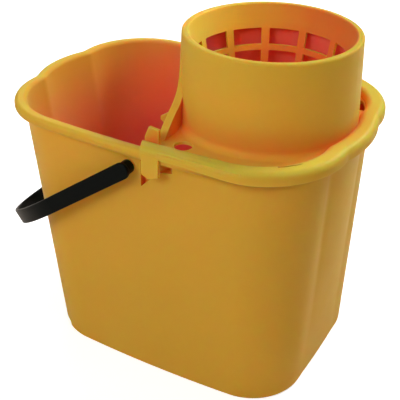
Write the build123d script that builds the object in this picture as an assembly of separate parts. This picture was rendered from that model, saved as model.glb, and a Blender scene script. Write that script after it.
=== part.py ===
from build123d import *
import math
import os

# ---------------------------------------------------------------------------
# Mop bucket with a clip-on cone wringer and a swinging bail.
# Frame: +Z up, origin on the standing face at the middle of the base,
# +X along the bucket towards the wringer, -Y the long front side. Millimetres.
# ---------------------------------------------------------------------------

# --- overall ---------------------------------------------------------------
TOTAL_H = 372.7            # floor to the top of the wringer collar
RIM_H = 283.4              # floor to the top of the bucket's rim
WALL_T = 2.8               # bucket wall
FLOOR_T = 3.2              # bucket floor
GAP = 0.6                  # clearance of the wringer round the rim

# --- bucket body: outline at the floor and at the rim ------------------------
BASE_XL, BASE_XR, BASE_B = -149.6, 150.6, 118.4
BASE_RL, BASE_RR = 60.0, 60.0
TOP_XL, TOP_XR, TOP_B = -187.0, 159.2, 128.0
TOP_RL, TOP_RR = 74.0, 76.0
BASE_BULGE, TOP_BULGE, TOP_BULGE_R = 0.6, 9.0, 7.0   # pouring lips at both ends
BULGE_H = 45.0                        # half width of a pouring lip
BOW_R = 1500.0                        # the long sides are slightly bowed
BASE_EDGE_R = 3.0
FOOT_RECESS = 1.0
FOOT_RING = 16.0
GRIP_X = -121.0                       # raised grip under the open end
GRIP_H = 8.0

# --- rolled rim -----------------------------------------------------------
RIM_B = 137.5
RIM_XL, RIM_XR = -196.0, 170.0
RIM_RL, RIM_RR = 81.0, 87.0
RIM_BULGE, RIM_BULGE_R = 9.5, 6.5     # open end, wringer end
RIM_BULGE_H = 46.0
RIM_DEPTH = 10.2
RIM_TOP_R, RIM_LOW_R = 4.8, 3.2
RIM_FLARE_R = 5.5                     # hollow round from the wall to the rim

# --- bail pivots ------------------------------------------------------------
PIVOT_X, PIVOT_Z = -17.9, 258.0
BOSS_R = 9.4               # wall boss inside the bucket
BOSS_OUT_R = 7.0           # wall boss outside
BOSS_Y = 128.6             # outer face of the wall boss
BOSS_IN_Y = 119.0          # inner face of the wall boss
PEG_R = 5.0
PEG_CLEAR = 0.1
HEAD_R, HEAD_T = 7.0, 3.0

# --- bail -------------------------------------------------------------------
BAIL_REACH = 254.0         # pivot axis to the middle of the loop
BAIL_Y = 140.6             # middle of the strap from the centre plane
BAIL_T = 4.4               # strap thickness
BAIL_W = 17.2              # strap width
BAIL_REST = 36.4           # degrees below level at rest

# --- wringer ----------------------------------------------------------------
AXIS_X = 69.0              # axis of the collar and the cone
COLLAR_R_TOP = 88.9
COLLAR_R_DECK = 92.6
COLLAR_T = 3.0
COLLAR_FOOT_R = 7.0        # round between the collar and the deck
DECK_Z = 280.0             # top of the sunk deck
DECK_T = 3.0
FLANGE_TOP = 289.5
FLANGE_LOW = 276.6
FLANGE_T = 3.2
FLANGE_X0, FLANGE_XI = 3.8, -5.6   # left end of the flange at its outer and its inner edge
FLANGE_RISE = 4.7          # lower edge of the flange is this much higher near the clips
FLANGE_OUT_R, FLANGE_IN_R = 7.0, 6.5   # the flange is rounded over like a bead
FLANGE_END_R = 1.0         # round at the left ends of the flange
RIDGE_R = 1.3              # fine ridge along the shoulder of the flange beside the clips
SLIT_T = 2.1               # depth of the slit on the bead at the front corner
SKIRT_T = 3.0
SPLASH_X0, SPLASH_X1 = -1.0, 7.0
SPLASH_T = 3.0
CLIP_X0, CLIP_X1 = 4.6, 23.6
CLIP_LOW = 257.5
DRAIN_X, DRAIN_Y, DRAIN_R = 28.0, 101.5, 9.3

# --- strainer ----------------------------------------------------------------
CONE_R_TOP = 82.0          # inner radius at the lip
CONE_SLOPE = 0.2           # radius lost per mm of depth
CONE_T = 2.6
CONE_DEPTH = 150.0
LIP_T = 4.0
LIP_R = 85.3
WIN_N = 12
WIN_ROWS = 5
WIN_TOP = 25.4             # first row below the lip
WIN_H = 17.2
WIN_PITCH = 23.0
WIN_ARC = 23.8             # degrees
WIN_PHASE = 14.6           # degrees, middle of a window


# ---------------------------------------------------------------------------
# closed outlines: bowed sides, round corners, a shallow bulge in each end
# ---------------------------------------------------------------------------
def outline(xl, xr, b, rl, rr, bulge_l, bulge_r, h, z, bow=BOW_R, share=0.12):
    """Closed wire of 16 edges at height z."""
    cy0 = bow - b

    def corner(cx, r):
        cy = cy0 - math.sqrt((bow - r) ** 2 - cx ** 2)
        ux, uy = cx, cy - cy0
        n = math.hypot(ux, uy)
        t = (bow * ux / n, cy0 + bow * uy / n)
        return (cx, cy), t

    (cxr, cyr), tr = corner(xr - rr, rr)
    (cxl, cyl), tl = corner(xl + rl, rl)
    def arc(p0, c, p1):
        m = ((p0[0] + p1[0]) / 2 - c[0], (p0[1] + p1[1]) / 2 - c[1])
        n = math.hypot(*m)
        rad = math.hypot(p0[0] - c[0], p0[1] - c[1])
        mid = (c[0] + m[0] / n * rad, c[1] + m[1] / n * rad)
        return ThreePointArc((*p0, z), (*mid, z), (*p1, z))

    def line(p0, p1):
        return Line((*p0, z), (*p1, z))

    def end(x, s):
        """Edges of one end, going up in y at s=+1 and down at s=-1."""
        bulge = bulge_r if s > 0 else bulge_l
        a = 2 * math.atan(bulge / h)
        rs = h / math.sin(a)
        r1, r2 = rs * share, rs * (1 - share)
        q1 = (x, -s * h)
        q2 = (x + s * r1 * (1 - math.cos(a)), -s * (h - r1 * math.sin(a)))
        q3 = (q2[0], -q2[1])
        q4 = (x, s * h)
        return (
            [
                arc(q1, (x + s * r1, -s * h), q2),
                arc(q2, (x + s * (bulge - r2), 0.0), q3),
                arc(q3, (x + s * r1, s * h), q4),
            ],
            q1,
            q4,
        )

    right, ra, rb = end(xr, 1)
    left, la, lb = end(xl, -1)
    e = []
    e.append(ThreePointArc((*tl, z), (0, -b, z), (*tr, z)))
    e.append(arc(tr, (cxr, cyr), (xr, cyr)))
    e.append(line((xr, cyr), ra))
    e += right
    e.append(line(rb, (xr, -cyr)))
    e.append(arc((xr, -cyr), (cxr, -cyr), (tr[0], -tr[1])))
    e.append(ThreePointArc((tr[0], -tr[1], z), (0, b, z), (tl[0], -tl[1], z)))
    e.append(arc((tl[0], -tl[1]), (cxl, -cyl), (xl, -cyl)))
    e.append(line((xl, -cyl), la))
    e += left
    e.append(line(lb, (xl, cyl)))
    e.append(arc((xl, cyl), (cxl, cyl), tl))
    return Wire(e)


def body_outline(z, off=0.0):
    """The bucket wall's outline at height z, moved in by off."""
    k = z / RIM_H

    def mix(p, q):
        return p + (q - p) * k

    return outline(
        mix(BASE_XL, TOP_XL) + off,
        mix(BASE_XR, TOP_XR) - off,
        mix(BASE_B, TOP_B) - off,
        mix(BASE_RL, TOP_RL) - off,
        mix(BASE_RR, TOP_RR) - off,
        mix(BASE_BULGE, TOP_BULGE),
        mix(BASE_BULGE, TOP_BULGE_R),
        BULGE_H,
        z,
        bow=BOW_R - off,
    )


def rim_outline(z, off=0.0):
    """The rim's outer outline at height z, moved out by off."""
    return outline(
        RIM_XL - off,
        RIM_XR + off,
        RIM_B + off,
        RIM_RL + off,
        RIM_RR + off,
        RIM_BULGE,
        RIM_BULGE_R,
        RIM_BULGE_H,
        z,
        bow=BOW_R + off,
    )


def prism(wire, height):
    return Solid.extrude(Face(wire), Vector(0, 0, height))


def box(x0, x1, y0, y1, z0, z1):
    return Pos((x0 + x1) / 2, (y0 + y1) / 2, (z0 + z1) / 2) * Box(
        abs(x1 - x0), abs(y1 - y0), abs(z1 - z0)
    )


def ycyl(x, z, r, y0, y1):
    return Pos(x, (y0 + y1) / 2, z) * Rot(90, 0, 0) * Cylinder(r, abs(y1 - y0))


def turned(points):
    """Solid of revolution about the collar axis from (radius, height) points."""
    face = make_face(Polyline(*[(p[0], 0, p[1]) for p in points], close=True))
    return Pos(AXIS_X, 0, 0) * revolve(face, Axis.Z, 360)


def edges_at(shape, z, tol=0.02):
    out = []
    for e in shape.edges():
        bb = e.bounding_box()
        if abs(bb.min.Z - z) < tol and abs(bb.max.Z - z) < tol:
            out.append(e)
    return out


def ring_edges(shape, r, z):
    """Circles about the collar axis of radius r at height z."""
    out = []
    for e in shape.edges():
        pts = [e.position_at(t) for t in (0.0, 0.25, 0.6)]
        if all(
            abs(p.Z - z) < 0.02 and abs(math.hypot(p.X - AXIS_X, p.Y) - r) < 0.05
            for p in pts
        ):
            out.append(e)
    return out


def plate_xz(points, y0, y1):
    """Plate cut out in the XZ plane, between two y values."""
    f = make_face(Polyline(*[(p[0], y0, p[1]) for p in points], close=True))
    return Solid.extrude(f.faces()[0], Vector(0, y1 - y0, 0))


def sector(cx, cy, r0, r1, a0, a1, z0, z1):
    """Upright ring sector about (cx, cy), angles in degrees."""
    c0, s0 = math.cos(math.radians(a0)), math.sin(math.radians(a0))
    c1, s1 = math.cos(math.radians(a1)), math.sin(math.radians(a1))
    am = math.radians((a0 + a1) / 2)
    f = make_face(
        [
            Line((cx + r0 * c0, cy + r0 * s0, z0), (cx + r1 * c0, cy + r1 * s0, z0)),
            ThreePointArc(
                (cx + r1 * c0, cy + r1 * s0, z0),
                (cx + r1 * math.cos(am), cy + r1 * math.sin(am), z0),
                (cx + r1 * c1, cy + r1 * s1, z0),
            ),
            Line((cx + r1 * c1, cy + r1 * s1, z0), (cx + r0 * c1, cy + r0 * s1, z0)),
            ThreePointArc(
                (cx + r0 * c1, cy + r0 * s1, z0),
                (cx + r0 * math.cos(am), cy + r0 * math.sin(am), z0),
                (cx + r0 * c0, cy + r0 * s0, z0),
            ),
        ]
    )
    s = Solid.extrude(f.faces()[0], Vector(0, 0, z1 - z0))
    upright = [e for e in s.edges().filter_by(Axis.Z)]
    return s.fillet(min(2.0, (r1 - r0) * 0.3), upright)


# ---------------------------------------------------------------------------
# bucket
# ---------------------------------------------------------------------------
def clip_pocket(s):
    """Recess in the long wall behind a clip tongue."""
    pts = [(-5, 238), (5.5, 248.5), (18, 259.5), (31, 262), (31, 274), (-5, 274)]
    ramp = make_face(Polyline((23, s * 118, 230), (31.5, s * 127.6, 230), (31.5, s * 118, 230), close=True))
    return plate_xz(pts, s * 119.0, s * 134.5) - Solid.extrude(ramp.faces()[0], Vector(0, 0, 60))


def make_bucket():
    shell = Solid.make_loft([body_outline(0), body_outline(RIM_H)], ruled=True)
    shell = shell.fillet(BASE_EDGE_R, edges_at(shell, 0.0))

    rim = prism(rim_outline(RIM_H - RIM_DEPTH), RIM_DEPTH)
    rim = rim.fillet(RIM_TOP_R, edges_at(rim, RIM_H))
    rim = rim.fillet(RIM_LOW_R, edges_at(rim, RIM_H - RIM_DEPTH))
    solid = shell + rim
    under = Face(rim_outline(RIM_H - RIM_DEPTH, -RIM_LOW_R - 1.5))
    neck = [e for e in edges_at(solid, RIM_H - RIM_DEPTH) if under.is_inside(e.position_at(0.5))]
    solid = solid.fillet(RIM_FLARE_R, neck)
    for s in (-1, 1):
        solid += ycyl(PIVOT_X, PIVOT_Z, BOSS_OUT_R, s * BOSS_IN_Y, s * BOSS_Y)

    inner = Solid.make_loft(
        [body_outline(FLOOR_T, WALL_T), body_outline(RIM_H + 4, WALL_T)], ruled=True
    )
    inner = inner.fillet(6.0, edges_at(inner, FLOOR_T))
    for s in (-1, 1):
        inner -= ycyl(PIVOT_X, PIVOT_Z, BOSS_R, s * BOSS_IN_Y, s * BOSS_Y)
        pad = box(-8.2, 31.2, s * 115.8, s * 140, 234, 276.0)
        pad = pad.fillet(2.0, pad.edges().filter_by(Axis.X).sort_by(lambda e: abs(e.center().Y))[:2])
        inner -= pad
    step = box(-400, GRIP_X + 3.0, -200, 200, -5, GRIP_H + FLOOR_T)
    inner -= step
    solid = solid - inner

    # round the inside of the mouth
    inner_mouth = []
    ref = Face(body_outline(RIM_H, WALL_T - 0.3))
    for e in edges_at(solid, RIM_H):
        p = e.position_at(0.5)
        if ref.is_inside(p):
            inner_mouth.append(e)
    solid = solid.fillet(4.0, inner_mouth)

    # standing ring with shallow pockets between two cross ribs
    ring = prism(body_outline(0, FOOT_RING).moved(Location((0, 0, -1))), 1 + FOOT_RECESS)
    ring -= box(-200, 200, -5, 5, -2, 4)
    ring -= box(-5, 5, -200, 200, -2, 4)
    ring -= box(-400, GRIP_X + 12, -200, 200, -2, 4)
    solid = solid - ring

    # raised grip under the open end
    grip = box(-220, GRIP_X, -160, 160, -5, GRIP_H)
    grip = grip.fillet(4.0, grip.edges().filter_by(Axis.Y).sort_by(Axis.Z)[-1:])
    solid = solid - grip

    for s in (-1, 1):
        solid = solid - clip_pocket(s)
        solid = solid - ycyl(PIVOT_X, PIVOT_Z, PEG_R + PEG_CLEAR, s * 110, s * 140)
    return solid


# ---------------------------------------------------------------------------
# bail: one strap bent into a loop, with a peg at each end
# ---------------------------------------------------------------------------
def make_bail():
    ro = BAIL_Y + BAIL_T / 2
    ri = BAIL_Y - BAIL_T / 2
    u0 = BAIL_REACH + BAIL_T / 2 - ro        # where the round part starts
    w = BAIL_W / 2
    # plan of the loop in its own plane, u along -X before the tilt
    outer = make_face(
        [
            Line((0, -ro, -w), (-u0, -ro, -w)),
            ThreePointArc((-u0, -ro, -w), (-u0 - ro, 0, -w), (-u0, ro, -w)),
            Line((-u0, ro, -w), (0, ro, -w)),
            Line((0, ro, -w), (0, ri, -w)),
            Line((0, ri, -w), (-u0, ri, -w)),
            ThreePointArc((-u0, ri, -w), (-u0 - ri, 0, -w), (-u0, -ri, -w)),
            Line((-u0, -ri, -w), (0, -ri, -w)),
            Line((0, -ri, -w), (0, -ro, -w)),
        ]
    )
    strap = Solid.extrude(outer.faces()[0], Vector(0, 0, BAIL_W))
    for s in (-1, 1):
        strap += ycyl(0, 0, w, s * ri, s * ro)
    long_edges = [
        e for e in strap.edges() if abs(abs(e.center().Z) - w) < 1e-3 and e.length > 60
    ]
    strap = strap.fillet(1.4, long_edges)
    for s in (-1, 1):
        strap += ycyl(0, 0, 7.2, s * (BOSS_Y + 0.35), s * (ri + 0.5))
        strap += ycyl(0, 0, PEG_R, s * (BOSS_IN_Y - 1.0), s * (ri + 0.5))
        strap += ycyl(0, 0, HEAD_R, s * (BOSS_IN_Y - 0.35 - HEAD_T), s * (BOSS_IN_Y - 0.35))
    strap = Rot(0, -BAIL_REST, 0) * strap
    return Pos(PIVOT_X, 0, PIVOT_Z) * strap


# ---------------------------------------------------------------------------
# wringer body: collar, deck, flange over the rim, splash wall and clips
# ---------------------------------------------------------------------------
def flange_in(z, off=0.0):
    """Outer outline of the flange's inner skirt, moved in by off."""
    return body_outline(RIM_H, WALL_T + GAP + off).moved(Location((0, 0, z - RIM_H)))


def splash_profile(x, s, low, lift=0.0):
    """Outline of a splash wall in the plane at x."""
    top = 366.0
    pts = [(56.6, 354), (58.4, 344), (60.6, 331), (65.5, 316), (74, 306), (86, 296.5), (96, 286.5), (103, 279.5)]
    p = [(x, s * y, z + lift) for y, z in pts]
    return make_face(
        [
            Line((x, s * 20, top + lift), (x, s * 54.6, top + lift)),
            Spline((x, s * 54.6, top + lift), *p),
            Line(p[-1], (x, s * 103, low)),
            Line((x, s * 103, low), (x, s * 20, low)),
            Line((x, s * 20, low), (x, s * 20, top + lift)),
        ]
    ).faces()[0]


def make_wringer():
    low_in = DECK_Z - DECK_T
    roof = FLANGE_TOP - FLANGE_T
    # cap over the rim
    cap = prism(rim_outline(FLANGE_LOW, GAP + FLANGE_T), FLANGE_TOP - FLANGE_LOW)
    cap -= prism(flange_in(FLANGE_LOW - 2, SKIRT_T), 60)
    rim_top = edges_at(cap, FLANGE_TOP)
    ref = Face(flange_in(FLANGE_TOP, SKIRT_T - 0.5))
    inner_top = [e for e in rim_top if ref.is_inside(e.position_at(0.5))]
    outer_top = [e for e in rim_top if not ref.is_inside(e.position_at(0.5))]
    cap = cap.fillet(FLANGE_OUT_R, outer_top)
    cap = cap.fillet(FLANGE_IN_R, inner_top)
    cap = cap.fillet(1.0, [e for e in edges_at(cap, FLANGE_LOW) if not ref.is_inside(
        Vector(e.position_at(0.5).X, e.position_at(0.5).Y, FLANGE_TOP))])
    hollow = prism(rim_outline(FLANGE_LOW - 1, GAP), roof - FLANGE_LOW + 1)
    hollow -= prism(flange_in(FLANGE_LOW - 2), 40)
    cap -= hollow
    # seats under the roof that carry the wringer on the rim
    seats = box(30, 33, -200, 200, RIM_H + 0.35, roof + 1) + box(
        72, 75, -200, 200, RIM_H + 0.35, roof + 1
    )
    seats += box(112, 115, -200, 200, RIM_H + 0.35, roof + 1)
    seats += box(150, 200, -1.5, 1.5, RIM_H + 0.35, roof + 1)
    cap += hollow & seats
    # slanted left ends, and a lower edge that rises towards the clips
    yf = RIM_B + GAP + FLANGE_T
    ends = make_face(
        Polyline(
            (FLANGE_X0, -yf, 200), (FLANGE_XI, -120, 200), (FLANGE_XI, 120, 200), (FLANGE_X0, yf, 200),
            (FLANGE_X0, 200, 200), (260, 200, 200), (260, -200, 200), (FLANGE_X0, -200, 200), close=True,
        )
    )
    cap = cap & Solid.extrude(ends.faces()[0], Vector(0, 0, 140))
    lean = (FLANGE_XI - FLANGE_X0) / (yf - 120)
    brow = [
        e for e in cap.edges()
        if all(
            abs(q.X - FLANGE_X0 - lean * (yf - abs(q.Y))) < 0.02 and q.Z > FLANGE_TOP - FLANGE_OUT_R - 0.05
            for q in (e.position_at(t) for t in (0.0, 0.4, 1.0))
        )
        and e.position_at(0.5).Z > FLANGE_TOP - 2.6
        and not (roof - 0.05 < e.position_at(0.5).Z < roof + 0.05)
    ]
    cap = cap.fillet(FLANGE_END_R, brow)
    for s in (-1, 1):
        cap -= plate_xz(
            [
                (-40, FLANGE_LOW - 6), (-40, FLANGE_LOW + FLANGE_RISE), (50, FLANGE_LOW + FLANGE_RISE),
                (117, FLANGE_LOW), (117, FLANGE_LOW - 6),
            ],
            s * 130.0, s * 200.0,
        )

    # sunk deck
    deck = prism(flange_in(low_in), DECK_T)
    deck = deck & box(SPLASH_X0, 260, -200, 200, 200, 340)
    body = cap + deck

    # collar with a rounded foot
    zt = TOTAL_H
    zs = TOTAL_H - LIP_T - 0.3
    slope = (COLLAR_R_DECK - COLLAR_R_TOP) / (zt - DECK_Z)
    f = COLLAR_FOOT_R
    ra = COLLAR_R_DECK - slope * f
    foot = make_face(
        [
            Line((COLLAR_R_DECK - 20, 0, low_in), (COLLAR_R_DECK + f, 0, low_in)),
            Line((COLLAR_R_DECK + f, 0, low_in), (COLLAR_R_DECK + f, 0, DECK_Z)),
            ThreePointArc(
                (COLLAR_R_DECK + f, 0, DECK_Z),
                (ra + f - f * math.sin(math.radians(45)), 0, DECK_Z + f - f * math.cos(math.radians(45))),
                (ra, 0, DECK_Z + f),
            ),
            Line((ra, 0, DECK_Z + f), (COLLAR_R_DECK - 20, 0, DECK_Z + f)),
            Line((COLLAR_R_DECK - 20, 0, DECK_Z + f), (COLLAR_R_DECK - 20, 0, low_in)),
        ]
    )
    foot = Pos(AXIS_X, 0, 0) * revolve(foot, Axis.Z, 360)
    foot = foot & prism(flange_in(low_in - 1), 30)
    foot = foot & box(SPLASH_X0, 260, -200, 200, 200, 340)
    collar = turned(
        [(0, low_in), (COLLAR_R_DECK, low_in), (COLLAR_R_TOP, zt), (0, zt)]
    )
    collar = collar.fillet(2.2, ring_edges(collar, COLLAR_R_TOP, zt))
    body += collar
    body += foot

    yo = RIM_B + GAP + FLANGE_T
    yi = RIM_B + GAP
    for s in (-1, 1):
        # splash wall: an upright web with a flange along its top edge
        web = Solid.extrude(
            splash_profile(SPLASH_X1 - SPLASH_T, s, low_in), Vector(SPLASH_T, 0, 0)
        )
        lip = Solid.extrude(
            splash_profile(SPLASH_X0, s, low_in), Vector(SPLASH_X1 - SPLASH_X0, 0, 0)
        )
        under = Solid.extrude(
            splash_profile(SPLASH_X0 - 1, s, low_in - 10, -3.4),
            Vector(SPLASH_X1 - SPLASH_T + 1 - SPLASH_X0, 0, 0),
        )
        under = under.moved(Location((0, -s * 1.6, 0)))
        body += web
        body += lip - under
        # small gusset on the open side
        body += plate_xz(
            [
                (SPLASH_X0 + 0.1, 300.0), (-9.5, 294.3), (-9.5, 291), (SPLASH_X1 - 2, 279.5),
                (SPLASH_X1 - 2, 297.0), (SPLASH_X0 + 0.1, 298.5),
            ],
            s * 78.0, s * 81.5,
        )
        # upright tab at the end of the flange
        body += plate_xz(
            [(-5, low_in), (-5, 289), (-0.5, 300), (10.5, 298.5), (10.5, low_in)],
            s * 114.5, s * 118.0,
        )
        # clip tongue
        tongue = plate_xz(
            [
                (CLIP_X0, FLANGE_TOP - 5), (CLIP_X0, CLIP_LOW + 4.0), (12.8, CLIP_LOW),
                (CLIP_X1, CLIP_LOW + 4.5), (CLIP_X1, FLANGE_TOP - 5),
            ],
            s * yi, s * yo,
        )
        outer = [
            e for e in tongue.edges()
            if abs(abs(e.center().Y) - yo) < 0.05
        ]
        body += tongue.fillet(0.9, outer)
        # ridge on the shoulder of the flange, sunk in at both ends
        run = []
        for x, e, z in ((19, 3.2, 3.4), (29, 1.9, 1.5), (48, 2.1, 1.75), (74, 2.5, 2.3), (106, 3.2, 3.4)):
            run.append((x, s * (yo - e - x ** 2 / (2 * BOW_R)), FLANGE_TOP - z))
        path = Spline(*run)
        body += sweep(Plane(origin=path @ 0, z_dir=path % 0) * Circle(RIDGE_R), path=path)
    # hollow of the collar
    body -= turned(
        [
            (0, low_in - 1), (COLLAR_R_DECK - COLLAR_T, low_in - 1),
            (LIP_R - 1.1, zs), (LIP_R + 0.3, zs), (LIP_R + 0.3, zt + 1), (0, zt + 1),
        ]
    )
    # drain holes in the deck
    cxr = TOP_XR - TOP_RR
    cyr = BOW_R - TOP_B - math.sqrt((BOW_R - TOP_RR) ** 2 - cxr ** 2)
    r_skirt = TOP_RR - WALL_T - GAP
    for s in (-1, 1):
        body -= Pos(DRAIN_X, s * DRAIN_Y, DECK_Z) * Cylinder(DRAIN_R, 14)
        a0, a1 = (13.0, 34.0) if s > 0 else (-34.0, -13.0)
        body -= sector(
            cxr, -s * cyr, r_skirt - SKIRT_T - 7.2, r_skirt - SKIRT_T - 0.7, a0, a1,
            low_in - 1, DECK_Z + 1.5,
        )
    # slit on the bead at the front corner, narrowing to the right
    def at(r, a):
        return (
            cxr + (r_skirt + r) * math.cos(math.radians(a)),
            cyr + (r_skirt + r) * math.sin(math.radians(a)),
            FLANGE_TOP - SLIT_T,
        )

    slit = make_face(
        [
            ThreePointArc(at(4.3, -51.4), at(4.3, -42.4), at(4.3, -33.5)),
            Line(at(4.3, -33.5), at(3.4, -33.5)),
            ThreePointArc(at(3.4, -33.5), at(2.5, -42.4), at(1.6, -51.4)),
            Line(at(1.6, -51.4), at(4.3, -51.4)),
        ]
    )
    body -= Solid.extrude(slit.faces()[0], Vector(0, 0, SLIT_T + 2))
    return body


# ---------------------------------------------------------------------------
# strainer: a perforated cone that drops into the collar
# ---------------------------------------------------------------------------
def make_strainer():
    zt, zb = TOTAL_H, TOTAL_H - CONE_DEPTH
    rb = CONE_R_TOP - CONE_SLOPE * CONE_DEPTH
    cone = turned(
        [
            (0, zb), (rb + CONE_T, zb), (CONE_R_TOP + CONE_T - CONE_SLOPE * LIP_T, zt - LIP_T),
            (LIP_R, zt - LIP_T), (LIP_R, zt), (0, zt),
        ]
    )
    cone = cone.fillet(4.0, ring_edges(cone, rb + CONE_T, zb))
    cone -= turned(
        [
            (0, zb + 3.0), (rb + CONE_SLOPE * 3.0, zb + 3.0),
            (CONE_R_TOP + CONE_SLOPE, zt + 1), (0, zt + 1),
        ]
    )
    cone = cone.fillet(1.8, ring_edges(cone, CONE_R_TOP, zt))
    core = turned([(0, zb - 1), (rb - 3.0, zb - 1), (CONE_R_TOP - 3.0, zt), (0, zt)])
    windows = []
    for row in range(WIN_ROWS):
        z1 = zt - WIN_TOP - row * WIN_PITCH
        z0 = z1 - WIN_H
        for i in range(WIN_N):
            a = WIN_PHASE + i * 360.0 / WIN_N
            h = math.radians(WIN_ARC / 2)
            ro = 100.0
            f = make_face(
                Polyline(
                    (0, 0, z0), (ro * math.cos(-h), ro * math.sin(-h), z0),
                    (ro * math.cos(h), ro * math.sin(h), z0), close=True,
                )
            )
            w = Solid.extrude(f.faces()[0], Vector(0, 0, z1 - z0))
            windows.append(Pos(AXIS_X, 0, 0) * Rot(0, 0, a) * w - core)
    cone = cone - windows
    # holes in the floor of the cone
    holes = []
    for n, r in ((1, 0.0), (6, 17.0), (12, 34.0)):
        for i in range(n):
            t = math.radians(i * 360.0 / n + (15 if n == 12 else 0))
            holes.append(
                Pos(AXIS_X + r * math.cos(t), r * math.sin(t), zb) * Cylinder(5.0, 12)
            )
    cone = cone - holes
    return cone


def main():
    os.makedirs("parts", exist_ok=True)
    nodes = {
        "bucket": make_bucket(),
        "bail_handle": make_bail(),
        "wringer_body": make_wringer(),
        "strainer_cone": make_strainer(),
    }
    for name, s in nodes.items():
        print(name, len(s.solids()), s.is_valid, round(s.volume), s.bounding_box())
        export_step(s, f"parts/{name}.step")


if __name__ == "__main__":
    main()
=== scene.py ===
"""Looks of the mop bucket with wringer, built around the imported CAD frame. Metres, +Z up."""

import math

import bpy
from mathutils import Matrix, Vector


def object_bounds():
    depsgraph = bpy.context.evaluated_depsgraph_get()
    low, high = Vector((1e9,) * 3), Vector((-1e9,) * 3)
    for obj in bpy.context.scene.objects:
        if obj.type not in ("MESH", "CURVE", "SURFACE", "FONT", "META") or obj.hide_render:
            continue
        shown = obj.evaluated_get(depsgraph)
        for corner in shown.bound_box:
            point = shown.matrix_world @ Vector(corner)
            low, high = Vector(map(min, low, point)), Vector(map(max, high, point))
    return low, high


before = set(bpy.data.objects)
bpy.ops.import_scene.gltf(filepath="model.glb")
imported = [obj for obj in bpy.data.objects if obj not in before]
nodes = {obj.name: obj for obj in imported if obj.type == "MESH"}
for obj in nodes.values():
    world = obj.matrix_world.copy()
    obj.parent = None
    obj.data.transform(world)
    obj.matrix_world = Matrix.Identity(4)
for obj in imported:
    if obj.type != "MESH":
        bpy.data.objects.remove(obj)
cad_lo, cad_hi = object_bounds()
scene = bpy.context.scene
scene.view_settings.view_transform = "Standard"


# ---------------------------------------------------------------- materials

def new_material(name):
    m = bpy.data.materials.new(name)
    m.use_nodes = True
    t = m.node_tree
    t.nodes.clear()
    out = t.nodes.new("ShaderNodeOutputMaterial")
    bsdf = t.nodes.new("ShaderNodeBsdfPrincipled")
    t.links.new(bsdf.outputs["BSDF"], out.inputs["Surface"])
    return m, t, bsdf


def noise(t, coords, scale, detail, rough=0.55, stretch=None):
    vec = coords
    if stretch is not None:
        mp = t.nodes.new("ShaderNodeMapping")
        mp.inputs["Scale"].default_value = stretch
        t.links.new(coords, mp.inputs["Vector"])
        vec = mp.outputs["Vector"]
    n = t.nodes.new("ShaderNodeTexNoise")
    n.inputs["Scale"].default_value = scale
    n.inputs["Detail"].default_value = detail
    n.inputs["Roughness"].default_value = rough
    t.links.new(vec, n.inputs["Vector"])
    return n.outputs["Fac"]


def remap(t, value, lo, hi, to_lo, to_hi):
    r = t.nodes.new("ShaderNodeMapRange")
    r.inputs["From Min"].default_value = lo
    r.inputs["From Max"].default_value = hi
    r.inputs["To Min"].default_value = to_lo
    r.inputs["To Max"].default_value = to_hi
    t.links.new(value, r.inputs["Value"])
    return r.outputs["Result"]


def math_node(t, op, a, b):
    n = t.nodes.new("ShaderNodeMath")
    n.operation = op
    for i, v in enumerate((a, b)):
        if isinstance(v, (int, float)):
            n.inputs[i].default_value = v
        else:
            t.links.new(v, n.inputs[i])
    return n.outputs[0]


def mix_colour(t, fac, a, b):
    n = t.nodes.new("ShaderNodeMix")
    n.data_type = "RGBA"
    t.links.new(fac, n.inputs[0])
    for i, v in ((6, a), (7, b)):
        if isinstance(v, tuple):
            n.inputs[i].default_value = (*v, 1.0)
        else:
            t.links.new(v, n.inputs[i])
    return n.outputs[2]


def vector_math(t, op, a, b=None):
    n = t.nodes.new("ShaderNodeVectorMath")
    n.operation = op
    for i, v in enumerate((a, b)):
        if v is None:
            continue
        if isinstance(v, tuple):
            n.inputs[i].default_value = v
        else:
            t.links.new(v, n.inputs[i])
    return n.outputs["Value"] if op in ("DOT_PRODUCT", "LENGTH") else n.outputs["Vector"]


def occlusion(t, reach, inside=False):
    ao = t.nodes.new("ShaderNodeAmbientOcclusion")
    ao.samples = 8
    ao.only_local = True
    ao.inside = inside
    ao.inputs["Distance"].default_value = reach
    return ao.outputs["AO"]


def facing_in(t, co, normal, axis_x):
    """1 on a wall that faces an upright axis at x = axis_x, 0 on one that faces away; and the way out from it."""
    out = vector_math(t, "MULTIPLY", vector_math(t, "SUBTRACT", co, (axis_x, 0.0, 0.0)), (1.0, 1.0, 0.0))
    side = vector_math(t, "DOT_PRODUCT", normal, vector_math(t, "NORMALIZE", out))
    return remap(t, side, -0.02, -0.30, 0.0, 1.0), vector_math(t, "LENGTH", out)


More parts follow.
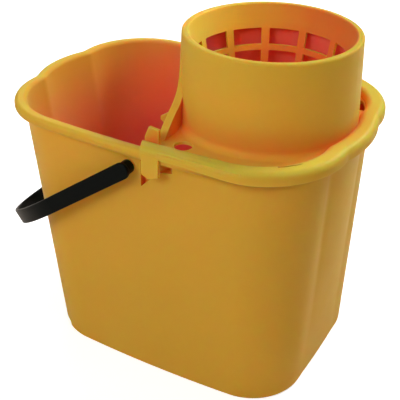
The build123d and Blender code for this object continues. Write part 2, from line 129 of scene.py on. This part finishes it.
def moulded_plastic(name, body, pale, deep, rough, grain, sss=None, wear_and_highlight=0.25, painted_light=None, specular=0.2, edge_mm=2.2, rub_and_highlight_above=None):
    """Moulded polypropylene: drifting pigment, painted shade and painted light from the colour function passed in
    (redder in the hollows), a fine spark-eroded grain, edges worn pale that also serve as a painted highlight, and
    hairline scuffs."""
    m, t, bsdf = new_material(name)
    tc = t.nodes.new("ShaderNodeTexCoord")
    co = tc.outputs["Object"]
    drift = remap(t, noise(t, co, 7.0, 3.0), 0.3, 0.7, 0.0, 1.0)
    cloud = remap(t, noise(t, co, 48.0, 4.0), 0.35, 0.7, 0.0, 0.35)
    colour = mix_colour(t, drift, body, deep)
    colour = mix_colour(t, cloud, colour, body)
    if painted_light:
        colour = painted_light(t, co, tc.outputs["Normal"], colour)
    # pale convex edges: partly worn plastic, partly a painted highlight along edges and beads
    edge = remap(t, occlusion(t, edge_mm * 0.001, inside=True), 0.55, 0.92, wear_and_highlight, 0.0)
    rubbed_and_highlight = math_node(t, "MULTIPLY", edge, remap(t, noise(t, co, 130.0, 3.0), 0.35, 0.65, 0.55, 1.0))
    if rub_and_highlight_above is not None:
        rubbed_and_highlight = math_node(t, "MULTIPLY", rubbed_and_highlight, remap(t, axes(t, co)[2], rub_and_highlight_above - 0.004, rub_and_highlight_above, 0.12, 1.0))
    colour = mix_colour(t, rubbed_and_highlight, colour, pale)
    t.links.new(colour, bsdf.inputs["Base Color"])
    handled = remap(t, noise(t, co, 26.0, 5.0, 0.6), 0.3, 0.72, rough - 0.05, rough + 0.07)
    hair = remap(t, noise(t, co, 90.0, 2.0, 0.5, stretch=(1.0, 1.0, 0.07)), 0.64, 0.74, 0.0, 0.06)
    t.links.new(math_node(t, "ADD", handled, hair), bsdf.inputs["Roughness"])
    fine = noise(t, co, 1500.0, 2.0)
    sink = noise(t, co, 14.0, 2.0)
    b1 = t.nodes.new("ShaderNodeBump")
    b1.inputs["Strength"].default_value = grain
    b1.inputs["Distance"].default_value = 0.00012
    t.links.new(fine, b1.inputs["Height"])
    b2 = t.nodes.new("ShaderNodeBump")
    b2.inputs["Strength"].default_value = 0.25
    b2.inputs["Distance"].default_value = 0.0012
    t.links.new(sink, b2.inputs["Height"])
    t.links.new(b1.outputs["Normal"], b2.inputs["Normal"])
    t.links.new(b2.outputs["Normal"], bsdf.inputs["Normal"])
    bsdf.inputs["IOR"].default_value = 1.49
    bsdf.inputs["Specular IOR Level"].default_value = specular
    if sss:
        weight, radius, scale = sss
        bsdf.inputs["Subsurface Weight"].default_value = weight
        bsdf.inputs["Subsurface Radius"].default_value = radius
        bsdf.inputs["Subsurface Scale"].default_value = scale
    return m


# painted shade and glow: the hollows are painted orange, red and crimson, redder the deeper they lie, standing in for
# light passed through the translucent plastic
SHADE_ORANGE, SHADE_RED, GLOW_CRIMSON = (0.93, 0.29, 0.055), (0.92, 0.15, 0.060), (0.98, 0.170, 0.125)
# painted shade inside the bucket: orange-yellow where lit, running to crimson where shaded
SHADE_RUN = ((0.95, 0.520, 0.068), (0.95, 0.275, 0.085), (0.87, 0.150, 0.092), (0.80, 0.085, 0.085))
# painted highlight on the tops of beads and on the lit side inside the cone
HIGHLIGHT_PALE = (0.93, 0.68, 0.09)
# painted shade in the flange slit, and painted shadow under the flange
CREVICE_SHADE, SHADE = (0.20, 0.065, 0.015), (0.40, 0.155, 0.030)


def axes(t, vector):
    n = t.nodes.new("ShaderNodeSeparateXYZ")
    t.links.new(vector, n.inputs[0])
    return n.outputs["X"], n.outputs["Y"], n.outputs["Z"]


def bead_highlight(t, up, z, lo, hi, most):
    """Painted highlight on the up-facing top of a rounded edge between two heights."""
    top = math_node(t, "MULTIPLY", remap(t, z, lo, lo + 0.005, 0.0, 1.0), remap(t, z, hi, hi + 0.001, 1.0, 0.0))
    return math_node(t, "MULTIPLY", top, remap(t, up, 0.10, 0.70, 0.0, most))


# bucket colour with painted light and shade laid on the plastic
def bucket_painted_light(t, co, normal, colour):
    # painted shade on the inner walls, floor and pads of the bucket
    inside, _ = facing_in(t, co, normal, 0.0)
    x, y, z = axes(t, co)
    _, _, up = axes(t, normal)
    bottom = math_node(t, "MULTIPLY", remap(t, up, 0.3, 0.8, 0.0, 1.0), remap(t, z, 0.02, 0.05, 1.0, 0.0))
    wide = math_node(t, "ABSOLUTE", y, 0.0)
    pads = math_node(t, "MULTIPLY", remap(t, wide, 0.1225, 0.1255, 1.0, 0.0), remap(t, z, 0.274, 0.279, 1.0, 0.0))
    flat = math_node(t, "ABSOLUTE", vector_math(t, "DOT_PRODUCT", normal, (1.0, 0.0, 0.0)), 0.0)
    pads = math_node(t, "MULTIPLY", pads, math_node(t, "MULTIPLY", remap(t, flat, 0.9, 0.98, 0.0, 1.0),
                                                    remap(t, math_node(t, "ABSOLUTE", x, 0.0), 0.05, 0.06, 1.0, 0.0)))
    inside = math_node(t, "MAXIMUM", math_node(t, "MAXIMUM", inside, bottom), pads)
    # the painted shade runs deeper downwards, towards the back wall and towards the right end under the wringer
    run = math_node(t, "ADD", remap(t, z, 0.283, 0.043, 0.0, 2.0), remap(t, y, 0.04, 0.12, 0.0, 0.22))
    run = math_node(t, "ADD", run, remap(t, x, -0.17, -0.02, 0.0, 0.5))
    deep = mix_colour(t, remap(t, run, 0.0, 0.55, 0.0, 1.0), SHADE_RUN[0], SHADE_RUN[1])
    deep = mix_colour(t, remap(t, run, 0.55, 1.2, 0.0, 1.0), deep, SHADE_RUN[2])
    deep = mix_colour(t, remap(t, run, 1.2, 2.0, 0.0, 1.0), deep, SHADE_RUN[3])
    # painted shade: orange laid into the hollows under the rim, found by local occlusion
    colour = mix_colour(t, remap(t, occlusion(t, 0.02), 0.35, 0.75, 0.7, 0.0), colour, SHADE_ORANGE)
    # painted highlight on the rounded top of the rim
    colour = mix_colour(t, bead_highlight(t, up, z, 0.2765, 0.284, 0.5), colour, HIGHLIGHT_PALE)
    # painted shadow: a dark band on the wall just below the wringer's flange, stronger towards the right end
    flange_shadow = math_node(t, "MULTIPLY", remap(t, z, 0.2640, 0.2752, 0.0, 0.8), remap(t, z, 0.2765, 0.2780, 1.0, 0.0))
    colour = mix_colour(t, math_node(t, "MULTIPLY", flange_shadow, remap(t, x, 0.03, 0.13, 0.1, 1.0)), colour, SHADE)
    return mix_colour(t, inside, colour, deep)


# wringer colour with painted light and shade laid on the plastic
def wringer_painted_light(t, co, normal, colour):
    inside, radius = facing_in(t, co, normal, 0.069)
    # painted glow and shade: the collar's inner wall behind the cone windows is painted crimson
    gap = math_node(t, "MULTIPLY", inside, remap(t, radius, 0.0925, 0.0935, 1.0, 0.0))
    x, y, z = axes(t, co)
    _, _, up = axes(t, normal)
    # painted highlight on the top of the flange bead
    colour = mix_colour(t, bead_highlight(t, up, z, 0.2825, 0.2900, 0.85), colour, HIGHLIGHT_PALE)
    # painted shade: orange laid into the hollows around the collar foot, found by local occlusion
    colour = mix_colour(t, remap(t, occlusion(t, 0.045), 0.40, 0.85, 0.95, 0.0), colour, SHADE_ORANGE)
    # painted shade: a dark line in the slit on the flange's inner shoulder
    slit_shade = math_node(t, "MULTIPLY", remap(t, occlusion(t, 0.003), 0.30, 0.70, 0.9, 0.0), remap(t, z, 0.2858, 0.2866, 0.0, 1.0))
    slit_shade = math_node(t, "MULTIPLY", slit_shade, remap(t, y, -0.0905, -0.0885, 1.0, 0.0))
    slit_shade = math_node(t, "MULTIPLY", slit_shade, remap(t, x, 0.118, 0.124, 0.0, 1.0))
    colour = mix_colour(t, slit_shade, colour, CREVICE_SHADE)
    return mix_colour(t, gap, colour, GLOW_CRIMSON)


# cone colour with painted light and shade laid on the plastic
def strainer_painted_light(t, co, normal, colour):
    inside, _ = facing_in(t, co, normal, 0.069)
    _, _, z = axes(t, co)
    _, _, up = axes(t, normal)
    bottom = math_node(t, "MULTIPLY", remap(t, up, 0.3, 0.8, 0.0, 1.0), remap(t, z, 0.228, 0.232, 1.0, 0.0))
    inside = math_node(t, "MAXIMUM", inside, bottom)
    # painted light and shade inside the cone: pale on the lit left, deepening to orange and red across to the right
    # and downwards
    across = remap(t, vector_math(t, "DOT_PRODUCT", co, (0.88, 0.48, 0.0)), -0.01, 0.135, 0.0, 0.8)
    down = remap(t, z, 0.355, 0.28, 0.0, 0.6)
    run = math_node(t, "ADD", across, down)
    deep = mix_colour(t, remap(t, run, 0.0, 0.25, 0.0, 1.0), HIGHLIGHT_PALE, colour)
    deep = mix_colour(t, remap(t, run, 0.20, 0.65, 0.0, 1.0), deep, SHADE_ORANGE)
    deep = mix_colour(t, remap(t, run, 0.60, 1.20, 0.0, 1.0), deep, SHADE_RED)
    # painted shade: orange laid into the hollows of the cone, found by local occlusion
    shaded = mix_colour(t, remap(t, occlusion(t, 0.03), 0.3, 0.8, 0.8, 0.0), colour, SHADE_ORANGE)
    return mix_colour(t, inside, shaded, deep)


def yellow(name, painted_light, glow, body, edge_mm=2.2, rub_and_highlight_above=None):
    # the pale yellow edge colour, laid on strongly along convex edges, is partly wear and partly a painted highlight
    return moulded_plastic(
        name, body, (0.93, 0.72, 0.11), (body[0] * 0.985, body[1] * 0.96, body[2] * 0.93), rough=0.36, grain=0.22,
        sss=(0.85, (1.0, 0.18, 0.04), glow), painted_light=painted_light, specular=0.045, wear_and_highlight=0.7,
        edge_mm=edge_mm, rub_and_highlight_above=rub_and_highlight_above)


BUCKET = yellow("bucket_plastic", bucket_painted_light, 0.005, (0.910, 0.522, 0.066), edge_mm=1.0)
WRINGER = yellow("wringer_plastic", wringer_painted_light, 0.004, (0.925, 0.570, 0.070))
STRAINER = yellow("strainer_plastic", strainer_painted_light, 0.002, (0.930, 0.570, 0.070), rub_and_highlight_above=0.366)
BLACK = moulded_plastic(
    "black_moulded", (0.0014, 0.0040, 0.0044), (0.016, 0.022, 0.023), (0.001, 0.003, 0.003),
    rough=0.33, grain=0.25, wear_and_highlight=0.35, specular=0.09)

for node, mat in (("bucket", BUCKET), ("wringer_body", WRINGER), ("strainer_cone", STRAINER), ("bail_handle", BLACK)):
    data = nodes[node].data
    data.materials.clear()
    data.materials.append(mat)


# ---------------------------------------------------------------- stage, light, camera

def floor_material(name, tone, glow):
    m, t, bsdf = new_material(name)
    co = t.nodes.new("ShaderNodeTexCoord").outputs["Object"]
    lo, hi = (tuple(c + d for c in tone) for d in (-0.01, 0.01))
    t.links.new(mix_colour(t, noise(t, co, 3.0, 3.0), lo, hi), bsdf.inputs["Base Color"])
    bsdf.inputs["Roughness"].default_value = 0.9
    bsdf.inputs["Specular IOR Level"].default_value = 0.1
    bsdf.inputs["Emission Color"].default_value = (1.0, 1.0, 1.0, 1.0)
    bsdf.inputs["Emission Strength"].default_value = glow
    return m


def floor_plane(name, z, material):
    mesh = bpy.data.meshes.new(name)
    reach = 30.0
    mesh.from_pydata([(-reach, -reach, 0), (reach, -reach, 0), (reach, reach, 0), (-reach, reach, 0)], [], [(0, 1, 2, 3)])
    o = bpy.data.objects.new(name, mesh)
    o.location.z = z
    mesh.materials.append(material)
    scene.collection.objects.link(o)
    return o


# a pale lit table that the camera sees, and under it the one that gives the bounce light
table = floor_plane("floor", cad_lo.z - 0.0003, floor_material("pale_floor", (0.92, 0.92, 0.92), 0.70))
table.visible_diffuse = table.visible_glossy = table.visible_shadow = table.visible_transmission = False
under = floor_plane("floor_bounce", cad_lo.z - 0.0008, floor_material("bounce_floor", (0.92, 0.80, 0.72), 0.0))
under.visible_camera = False

world = bpy.data.worlds.new("studio")
world.use_nodes = True
bg = world.node_tree.nodes["Background"]
bg.inputs["Color"].default_value = (1.0, 1.0, 1.0, 1.0)
bg.inputs["Strength"].default_value = 0.02
scene.world = world


def area(name, place, aim, size, watts, colour=(1.0, 1.0, 1.0), spread=180.0):
    lamp = bpy.data.lights.new(name, "AREA")
    lamp.shape = "RECTANGLE"
    lamp.size, lamp.size_y = size
    lamp.energy = watts
    lamp.color = colour
    lamp.spread = math.radians(spread)
    o = bpy.data.objects.new(name, lamp)
    o.location = place
    o.rotation_euler = (Vector(aim) - Vector(place)).to_track_quat("-Z", "Y").to_euler()
    scene.collection.objects.link(o)
    return o


WARM, FRESH = (1.0, 0.74, 0.62), (0.94, 1.0, 0.86)
CENTRE = (0.0, 0.0, 0.15)
area("front_soft", (-0.340, -1.936, 1.527), CENTRE, (1.0, 1.0), 17, (0.98, 1.0, 0.94))
area("left_front", (-1.623, -1.362, 1.277), CENTRE, (1.0, 1.0), 5)
area("right_back", (0.754, 1.616, 1.756), CENTRE, (0.9, 0.9), 31)
area("back_soft", (0.350, 1.982, 1.457), CENTRE, (1.0, 1.0), 7, FRESH)
area("left_back", (-1.264, 1.506, 1.527), CENTRE, (1.0, 1.0), 6)
area("top_soft", (0.0, -0.209, 2.541), CENTRE, (1.0, 1.0), 4, FRESH)
area("right_front", (1.182, -1.408, 1.693), CENTRE, (1.0, 1.0), 2.5, WARM)
area("wringer_soft", (1.776, -0.476, 1.693), (0.04, 0.0, 0.37), (0.35, 0.35), 0.036, spread=14.0)
area("cone_soft", (0.872, -0.275, 2.116), (-0.015, 0.03, 0.35), (0.10, 0.10), 0.012, spread=6.0)
area("window_soft", (1.334, -0.437, 1.811), (0.020, 0.015, 0.3727), (0.06, 0.06), 0.004, spread=3.2)

PITCH, AZ, ROLL = 0.5435, 0.5008, 0.0197
d = Vector((-math.sin(AZ) * math.cos(PITCH), math.cos(AZ) * math.cos(PITCH), -math.sin(PITCH)))
r = Vector((math.cos(AZ), math.sin(AZ), 0.0))
u = r.cross(d)
cr, sr = math.cos(ROLL), math.sin(ROLL)
right, up = cr * r + sr * u, -sr * r + cr * u
cam = bpy.data.cameras.new("camera")
cam.sensor_fit = "HORIZONTAL"
cam.sensor_width = 36.0
cam.lens = 854.952 / 400.0 * 36.0
cam_o = bpy.data.objects.new("camera", cam)
cam_o.matrix_world = Matrix((
    (right.x, up.x, -d.x, 0.39263),
    (right.y, up.y, -d.y, -0.73215),
    (right.z, up.z, -d.z, 0.65991),
    (0, 0, 0, 1)))
scene.collection.objects.link(cam_o)
scene.camera = cam_o

bpy.context.view_layer.update()
